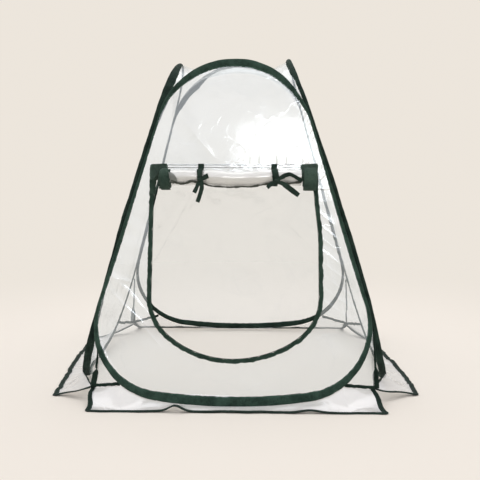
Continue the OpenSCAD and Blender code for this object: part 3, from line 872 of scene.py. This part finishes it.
for k, side in enumerate(sides):
    half_hem = hem_w / 2
    ends = np.array([seam_foot - (0, 0, half_hem), on_corner((gusset_foot + hem_foot) / 2)])
    path = even(ends, 0.003)
    path[:, 2] += 0.0006 * waves([path[:, 0]], 240 + k, 8, 0.01, 0.04)
    stand, width, thick = (0, 0, 1), hem_w, hem_t
    if k == 3:
        stand, width, thick = (0, -0.95, 0.3), hem_w * 0.5, 0.0009
    both = [turned_band(k, path, stand, width, thick, 250 + k),
            turned_band(k, path[::-1] * np.array([-1, 1, 1]), (0, 0, 1), hem_w, hem_t, 260 + k)]
    piece(side + "_hem_binding", both, binding_cloth, "binding_tape", side + "_hem_tape")

# ---------------------------------------------------------------------------------------------
# Ground flaps. A skirt of the same film leaves each hoop and hem, slopes to the ground and lies
# flat on it, to be weighed down. Folded green tape binds its ends and its outer edge.
binding_w = 0.012
binding_t = 0.003
tape_t = 0.0024
front_reach, side_reach = 0.030, 0.059
side_taper = 0.065
flap_film = film("flap film", 0.50, milk=(0.96, 0.96, 0.98, 1), mirror=0.17, crumple=1.1)

low_arc = np.linspace(-math.pi / 2, bend_end, 60, endpoint=False)
low_edge = on_side(0, sweep_r * np.cos(low_arc), sweep_v + sweep_r * np.sin(low_arc), back_out)
bend = on_corner(np.linspace(bend_end, hem_foot, 60))
half_edge = np.concatenate([low_edge, bend, [flap_corner - (binding_w / 2, 0, 0)]])
flap_edge = even(np.concatenate([half_edge[::-1] * np.array([-1, 1, 1]), half_edge[1:]]), 0.002)
flap_edge_run = np.linspace(-1, 1, len(flap_edge))


def flap(k, s, g):
    """Place on a flap: s from -1 at its left end to 1 at its right, g from 0 at the wall to 1 at
    the middle of its outer binding. It falls off the wall along a soft curve and ripples up off
    the ground. The front one has three low rumples, each the height times e to the minus square
    of the distance over its width. The right one reaches out least at its back end and the left
    one at its front end, and both run out longer at their front ends."""
    front = k % 2 == 0
    reach, taper = (front_reach, 0.0) if front else (side_reach, side_taper)
    s, g = np.broadcast_arrays(s, g)
    inner = np.stack([np.interp(s, flap_edge_run, flap_edge[:, i]) for i in range(3)], -1)
    half = base_half - taper - binding_w / 2 + (0.022 * ease(s) if k == 0 else 0)
    if k == 1:
        reach = reach - 0.036 * ease((s + 0.7) / 1.7)
        half = half + 0.020 * ease(-s)
    if k == 3:
        reach = reach + 0.006 - 0.018 * ease((s + 0.2) / 1.2)
        half = half + 0.045 * ease(s)
    y = -(foot_reach + reach - binding_w / 2) + 0.0012 * waves([s * 0.33], 300 + k, 9, 0.03, 0.2)
    y = y - (0.008 if k == 0 else 0)
    x = inner[..., 0] + (inner[..., 0] / (base_half - binding_w / 2) * half - inner[..., 0]) * g
    end_bow = 0.006 * np.sin(2 * math.pi * g) * np.abs(s) ** 8 * (0.5 if front else 1)
    ahead = np.clip(s if k == 3 else -s, 0, 1) ** 6
    fall = 1 - (1 - g) ** (1.5 if front else 2.1 - 0.9 * ahead)
    z = inner[..., 2] + (binding_t / 2 - inner[..., 2]) * fall
    rise = np.clip(waves([s * 0.3, g * 0.05], 310 + k, 8, 0.03, 0.16), 0, None)
    z = z + (0.0018 if front else 0.0022) * rise * ease(4 * g) * (1 - 0.35 * g)
    if k == 0:
        z = z + 0.0125 * np.exp(-((x + 0.125) / 0.019) ** 2) * ease(1.2 * g)
        z = z + 0.0050 * np.exp(-((x - 0.175) / 0.030) ** 2) * ease(1.2 * g)
        z = z + 0.0016 * np.exp(-((x - 0.02) / 0.09) ** 2) * ease(1.2 * g)
    y = inner[..., 1] + (y - inner[..., 1]) * g
    return turned(np.stack([x + np.sign(s) * end_bow, y, z], -1), k)


for k, side in enumerate(sides):
    reach = front_reach if k % 2 == 0 else side_reach
    s, g = np.linspace(-1, 1, 341)[None, :], np.linspace(0, 1, 26)[:, None]
    points = flap(k, s, g)
    sheet = piece(side + "_skirt", [shell(points, turn_over=True)], flap_film, "clear_film",
                  side + "_flap")
    edge = np.linspace(0, 1, 50)
    line = np.concatenate([flap(k, -1.0, edge), flap(k, np.linspace(-1, 1, 500), 1.0)[1:],
                           flap(k, 1.0, edge[::-1])[1:]])
    path = smoothed(even(line, 0.0025), 5)
    ahead = np.gradient(path, axis=0)
    across = np.cross(ahead, (0, 0, 1.0))
    folded = band(path, across, binding_w, tape_t, edge=0.0003, seed=330 + 2 * k)
    binding = piece(side + "_skirt_binding", [folded], binding_cloth, "binding_tape",
                    side + "_flap_binding")
    slope = math.hypot(reach + corner_in, corner_hem_z)
    laid_area(points)

# ---------------------------------------------------------------------------------------------
# Doorway zip. Half of a coil zip runs round the doorway's sides and sill: a ribbed tape, puckered
# where its outer edge is sewn to the film, and a nylon coil along its inner edge.
zip_w, zip_t, zip_step = 0.010, 0.0011, 0.002
header_drop = 0.028
header_rise = 0.006
header_v = door_top_v - header_drop
film_face = -0.001

zip_cloth = woven("zip tape cloth", (0.008, 0.020, 0.014, 1), (0.044, 0.080, 0.060, 1),
                  rib=0.0012, stitches=[0.0014])


def door_path(outward, step):
    """Even places down one side of the doorway, round its sill and up the other, below the hem."""
    line = doorway(outward, 3)
    line[:, 1] = np.minimum(line[:, 1], header_v + 0.004)
    return even(line, step)


around = door_path(zip_w / 2, zip_step)
path = on_side(0, around[:, 0], around[:, 1], film_face + 0.0006)
into = unit(np.gradient(around, axis=0))
across = way_on_front(into[:, 1], -into[:, 0], 0.0)
zip_run = np.arange(len(path)) * zip_step
path = path + across * (0.0003 * waves([zip_run], 400, 30, 0.008, 0.06))[:, None]
tape = band(path, across, zip_w, zip_t, edge=0.0007, seed=401)

pitch, coil_r, wire_d = 0.0016, 0.0009, 0.0007
around = door_path(-0.0002, pitch / 8)
into = unit(np.gradient(around, axis=0))
wind = 2 * math.pi * np.arange(len(around)) / 8
side = np.cos(wind) * coil_r
coil = on_side(0, around[:, 0] + into[:, 1] * side, around[:, 1] - into[:, 0] * side,
               film_face + 0.0008 + np.sin(wind) * coil_r * 0.8)
coil_band = band(coil, way_on_front(0.0, 0.0, 1.0), wire_d, wire_d, square=0.7, steps=5)
piece("doorway_zip", [tape, coil_band], zip_cloth, "zip_tape", "door_zip_tape")

# ---------------------------------------------------------------------------------------------
# Hem over the doorway. A doubled strip of film with two rows of grey stitching crosses the wall,
# and a square of green cloth with boxed stitching holds each end, where the zip tape stops. The
# stitching has no slot of its own and goes with the film that it is sewn through.
header_half = 0.200
patch_w, patch_h, patch_t = 0.042, 0.040, 0.0013
hem_film = film("hem film", 0.46, crumple=0.7)

u = np.linspace(-header_half, header_half, 260)[None, :]
v = np.linspace(header_v, door_top_v + header_rise, 26)[:, None]
fold = 0.0006 * waves([u, v * 2], 420, 9, 0.015, 0.09) * ease((v - header_v) / 0.01)
curl = 0.0008 * waves([u], 421, 12, 0.02, 0.1) * (1 - ease((v - header_v) / 0.014))
hem_points = on_side(0, u, v, film_face + 0.0006 + 0.5 * np.abs(fold) + np.clip(curl, 0, None))
hem = piece("doorway_hem", [shell(hem_points)], hem_film, "clear_film", "door_header")

thread_paint, v = blank("grey thread")
place = v.node("ShaderNodeUVMap", {"uv_map": "cloth"})
twist = v.node("ShaderNodeTexWave", {"bands_direction": "DIAGONAL"},
               {"Vector": place, "Scale": 900.0})
v.node("ShaderNodeOutputMaterial", inputs={"Surface": v.node("ShaderNodeBsdfPrincipled", inputs={
    "Base Color": mix(twist, (0.05, 0.055, 0.055, 1), (0.14, 0.15, 0.145, 1)), "Roughness": 0.7})})
stitch = 0.0032
rows = []
for row_v in (door_top_v + 0.0035, door_top_v - 0.0030):
    u = np.arange(-header_half + 0.030, header_half - 0.030, stitch / 8)
    lift = 0.00055 * np.sin(2 * math.pi * u / stitch)
    thread = on_side(0, u, row_v + 0.0002 * waves([u], 430, 8, 0.02, 0.1), film_face + 0.0010 + lift)
    rows.append(band(thread, way_on_front(0.0, 1.0, 0.0), 0.0014, 0.0010, square=0.7, steps=6))
threads = piece("hem_stitching", rows, thread_paint, "clear_film")

patch_cloth = woven("patch cloth", (0.026, 0.044, 0.034, 1), (0.086, 0.126, 0.103, 1),
                    rib=0.0014, stitches=[0.0025])
patch_face = film_face + 0.0015
for way, side in ((-1, "left"), (1, "right")):
    v = np.linspace(door_top_v + header_rise - patch_h, door_top_v + header_rise, 60)
    u = way * (header_half - patch_w / 2) + 0.0006 * np.sin(v * 180)
    path = on_side(0, u, v, patch_face + 0.0008 + 0.0004 * waves([v], 440 + way, 6, 0.01, 0.05))
    end = np.minimum(v - v[0], v[-1] - v)
    width = patch_w - 0.006 * (1 - ease(end / 0.003))
    square_cloth = band(path, (1, 0, 0), width, patch_t, square=0.3, steps=28, edge=0.0005,
                        seed=444 + way)
    piece(side + "_patch", [square_cloth], patch_cloth, "binding_tape", side + "_door_patch")

# ---------------------------------------------------------------------------------------------
# Rolled door. The door's film is rolled up outwards from its sill to the hem, five and a half
# turns that look milky together. It sags a little between its ties, and the green zip tape of
# its round lower edge shows along the roll's front.
roll_r = 0.022
turns = 5.5
zip_roll_l = 0.030
reel_turns = 8.5
shown_zip_w = 0.0062
roll_v = door_top_v - 0.009 - roll_r
roll_out = patch_face + 0.0015 + roll_r
roll_left = -(door_half - 0.015 - zip_roll_l)
roll_right = door_half - 0.003 - zip_roll_l
left_tie, right_tie = -0.078, 0.097
rolled_film = film("rolled film", 0.50, milk=(0.93, 0.925, 0.90, 1), mirror=0.30, crumple=2.2,
                   rough=0.12, stretch=(0.16, 1.3, 1.3), tint=(1, 1, 1, 1))


def roll_shape(u, turn):
    """Radius of the roll's skin at a place along it, squeezed under each tie, a little loose
    between them, with long soft folds, and flatter at the back."""
    squeeze = 1 - 0.14 * (np.exp(-((u - right_tie) / 0.011) ** 2)
                          + np.exp(-((u - left_tie) / 0.011) ** 2))
    loose = (1 + 0.02 * waves([u], 460, 9, 0.04, 0.14)
             + 0.02 * waves([u * 0.2, turn * 0.01], 461, 12, 0.008, 0.03))
    return squeeze * loose * (1 - 0.06 * np.cos(turn) ** 2)


def roll_middle(u):
    """Height of the roll's middle: lower halfway between the ties and at its loose ends."""
    return roll_v - 0.0020 - 0.0045 * np.cos(np.clip((u - 0.01) / 0.0875, -1, 1) * math.pi / 2) ** 2


u = np.linspace(roll_left - 0.002, roll_right + 0.002, 190)[None, :]
around = np.linspace(0, 2 * math.pi * turns, int(46 * turns))[:, None]
start = 0.0060
r = start + (roll_r - 0.0008 - start) * around / around.max()
r = r * roll_shape(u, around)
aim = around + math.radians(215) - 2 * math.pi * turns
roll_points = on_side(0, u + 0 * r, roll_middle(u) + r * np.sin(aim), roll_out + r * np.cos(aim))
door = piece("door_roll", [shell(roll_points)], rolled_film, "rolled_film", "rolled_door")

# A corner of the door that was not rolled in lies over the front of the roll's left end and looks
# grey. Its width falls off upwards, as the root of 1 less 0.97 of the square of the way up.
corner_film = film("folded corner film", 0.86, milk=(0.17, 0.18, 0.165, 1), mirror=0.1,
                   crumple=1.6, rough=0.3)
reach = np.linspace(0, 1, 24)[:, None]
part = np.linspace(0, 1, 24)[None, :]
u = roll_left - 0.006 + 0.021 * part * np.sqrt(1 - 0.97 * reach ** 2)
lift = np.radians(-42 + 62 * reach)
r = (roll_r + 0.0011) * roll_shape(u, lift)
corner_points = on_side(0, u, roll_middle(u) + r * np.sin(lift), roll_out + r * np.cos(lift))
corner = piece("door_roll_corner", [shell(corner_points)], corner_film, "rolled_film")

u = np.linspace(roll_left, roll_right, 240)
below = np.radians(np.interp(u, [-0.157, -0.125, -0.112, -0.094, -0.055, -0.01, 0.08, 0.157],
                             [42, 44, 52, 42, 66, 72, 58, 44])) + 0.05 * waves([u], 480, 10, 0.02, 0.09)
r = (roll_r + 0.0004) * roll_shape(u, -below)
path = on_side(0, u, roll_middle(u) - r * np.sin(below), roll_out + r * np.cos(below))
way = way_on_front(0 * u, np.cos(below), np.sin(below))
wound_cloth = woven("zip tape under film", (0.028, 0.032, 0.026, 1), (0.105, 0.112, 0.096, 1),
                    rib=0.0012)
edge = piece("roll_zip_edge", [band(smoothed(path, 4), way, shown_zip_w, zip_t, edge=0.0012, seed=482)],
             wound_cloth, "zip_tape")


def reel(way):
    """Zip tape rolled up with the door: a flat band wound in a spiral, whose edges wander."""
    turn = np.linspace(0, 2 * math.pi * reel_turns, 540)
    whole = roll_r + (0.0030 if way < 0 else 0.0045)
    r = 0.0035 + (whole - 0.0035) * turn / turn.max()
    r = r * (1 + 0.02 * np.sin(2 * turn + 0.5))
    aim = turn + math.radians(250)
    middle = roll_left - zip_roll_l / 2 if way < 0 else roll_right + zip_roll_l / 2 + 0.0070
    middle = middle + 0.0008 * waves([turn * 0.01], 490 + way, 9, 0.03, 0.2)
    path = on_side(0, middle, roll_v - 0.0065 + r * np.sin(aim), roll_out + 0.001 + r * np.cos(aim))
    width = (0.027 if way < 0 else 0.031) - (0.010 if way < 0 else 0.003) * (turn / turn.max()) ** 8
    return band(path, (1, 0, 0), width, 0.0021, edge=0.0009, seed=495 + way)


reel_cloth = woven("reel cloth", (0.014, 0.031, 0.023, 1), (0.066, 0.106, 0.082, 1), rib=0.0012)

# From the left reel the tape comes down to the zip, in millimetres from the roll's middle.
tape_down = np.array([(-172, 10, 0), (-182, 1, -8), (-190, -9, -17), (-192, -22, -21.5),
                      (-192.5, -38, -22.3)]) / 1000
for way, side in ((-1, "left"), (1, "right")):
    turns_of = [reel(way)]
    if way < 0:
        down = on_side(0, tape_down[:, 0], roll_v + tape_down[:, 1], roll_out + tape_down[:, 2])
        path = smoothed(even(down, 0.0015), 30)
        turns_of.append(band(path, (0.8, 0.2, 0.5), 0.013, 0.0012, edge=0.0006, seed=470))
    piece(side + "_zip_reel", turns_of, reel_cloth, "zip_tape", side + "_zip_roll")

# ---------------------------------------------------------------------------------------------
# Ties. A grosgrain ribbon is sewn over the hem on each side of the middle, comes down over the
# roll, goes round it and is tied below its front, the left in a plain knot, the right in a bow.
ribbon_cloth = woven("ribbon cloth", (0.008, 0.018, 0.013, 1), (0.036, 0.062, 0.048, 1), rib=0.0013,
                     thread=0.0006, relief=0.0003)
ribbon_w, ribbon_t = 0.014, 0.0009
loop_w = 0.0125


def curve(places, step=0.0012):
    """A smooth path through places given as u, v, out in millimetres from the tie's place on the
    roll's middle, as the steps of a cubic that passes through each and heads from its neighbour
    before to the one after."""
    p = np.array(places, float) / 1000
    p = np.concatenate([2 * p[:1] - p[1:2], p, 2 * p[-1:] - p[-2:-1]])
    t = np.linspace(0, 1, 16, endpoint=False)[None, :, None]
    a, b, c, d = (p[i:len(p) - 3 + i, None] for i in range(4))
    steps = 0.5 * (2 * b + (c - a) * t + (2 * a - 5 * b + 4 * c - d) * t ** 2
                   + (3 * b - a - 3 * c + d) * t ** 3)
    return even(np.concatenate([steps.reshape(-1, 3), p[-2:-1]]), step)


def ribbon(at, places, lean_over=0.0, widths=(1, 1), seed=0):
    """A length of ribbon through places, its width square to its way and flat to the front, rolled
    over by lean_over degrees from one end to the other. widths are its shares of the full width
    along it."""
    p = curve(places)
    path = on_side(0, at + p[:, 0], roll_v + p[:, 1], roll_out + p[:, 2])
    ahead = unit(np.gradient(path, axis=0))
    out = way_on_front(0.0, 0.0, 1.0)
    flat = np.cross(ahead, out)
    flat = flat / np.maximum(np.linalg.norm(flat, axis=1), 1e-6)[:, None]
    part = np.linspace(0, 1, len(path))
    roll_over = np.radians(np.interp(part, np.linspace(0, 1, len(np.atleast_1d(lean_over))),
                                     np.atleast_1d(lean_over)))[:, None]
    across = flat * np.cos(roll_over) + np.cross(ahead, flat) * np.sin(roll_over)
    width = ribbon_w * np.interp(part, np.linspace(0, 1, len(widths)), widths)
    return band(path, across, width, ribbon_t, edge=0.0003, seed=seed)


def loop_round(at, seed):
    """Ribbon once round the roll."""
    turn = np.linspace(0, 2 * math.pi, 120)
    r = (roll_r + 0.0012) * roll_shape(np.array(at), -turn)
    u = at + 0.0008 * np.sin(turn * 2)
    path = on_side(0, u, roll_middle(np.array(at)) - r * np.sin(turn), roll_out + r * np.cos(turn))
    return band(path, (1, 0, 0), loop_w, ribbon_t, edge=0.0003, seed=seed)


def knot(at, u, v, out, size, seed):
    """A knot: a lump of ribbon wound on itself, a squashed ball whose radius is pressed into
    slanting folds."""
    down = np.linspace(0, math.pi, 26)[1:-1, None]
    turn = np.linspace(0, 2 * math.pi, 48, endpoint=False)[None, :]
    folds = 1 + 0.10 * np.sin(3 * turn + 4 * down + seed) + 0.06 * np.sin(7 * down + turn)
    r = size / 2000 * folds * np.sin(down) ** 0.15
    x, y = r * np.sin(down) * np.cos(turn), r * np.cos(down) * 0.85
    z = r * np.sin(down) * np.sin(turn) * 0.75
    points = on_side(0, at + u / 1000 + x, roll_v + v / 1000 + y, roll_out + out / 1000 + z)
    return shell(points, wrap=(False, True), fans=["bottom", "top"])


left = [
    loop_round(left_tie, 500),
    ribbon(left_tie, [(0, 37, -21.6), (0, 29, -21.2), (0, 23, -19.5), (0, 19, -12), (0, 15, 14),
                      (0.5, 8, 20.5), (0, -2, 23.2), (0, -11, 22.4)],
           widths=(1, 1, 0.95, 0.7), seed=502),
    ribbon(left_tie, [(2, -13, 24), (9, -10, 26), (15, -6, 25), (20, -3, 22)], lean_over=(10, 30),
           widths=(0.5, 0.85, 0.8), seed=504),
    ribbon(left_tie, [(1, -14, 25), (-2, -22, 25), (-7, -33, 22), (-12, -43, 20)], lean_over=(0, 20, -15),
           widths=(0.5, 0.72, 0.7, 0.7), seed=506),
    ribbon(left_tie, [(5, -15, 26), (6.5, -27, 27), (4, -42, 25), (-1, -57, 22), (-4, -65, 19)],
           lean_over=(0, -20, 15), widths=(0.5, 0.72, 0.7, 0.75), seed=508),
    knot(left_tie, 2, -13, 24.5, 13, 1.0)]
right = [
    loop_round(right_tie, 520),
    ribbon(right_tie, [(-1, 37, -21.6), (-1, 29, -21.2), (-1, 23, -19.5), (-1, 19, -12),
                       (-0.5, 15, 14), (1, 8, 20.5), (4, -4, 23.2), (5, -14, 22.4)],
           widths=(1, 1, 0.95, 0.7), seed=522),
    ribbon(right_tie, [(3, -17, 24), (-5, -21, 25), (-12, -26, 24), (-18, -31, 22)], lean_over=(0, 25),
           widths=(0.5, 0.8, 0.8), seed=524),
    ribbon(right_tie, [(6, -15, 25), (13, -10, 28), (23, -4, 30), (34, -1, 28), (45, -5, 25),
                       (56, -11, 22), (64, -15, 20)],
           lean_over=(0, 20, 50, 30), widths=(0.5, 0.75, 0.7, 0.7, 0.7), seed=526),
    ribbon(right_tie, [(7, -18, 26), (18, -23, 28), (31, -32, 27), (44, -41, 23), (55, -49, 20)],
           lean_over=(0, 15, -10), widths=(0.5, 0.9, 0.9, 0.85), seed=528),
    knot(right_tie, 5, -16, 24.5, 14, 2.2)]
piece("left_tie_ribbon", left, ribbon_cloth, "ribbon", "left_tie")
piece("right_tie_ribbon", right, ribbon_cloth, "ribbon", "right_tie")
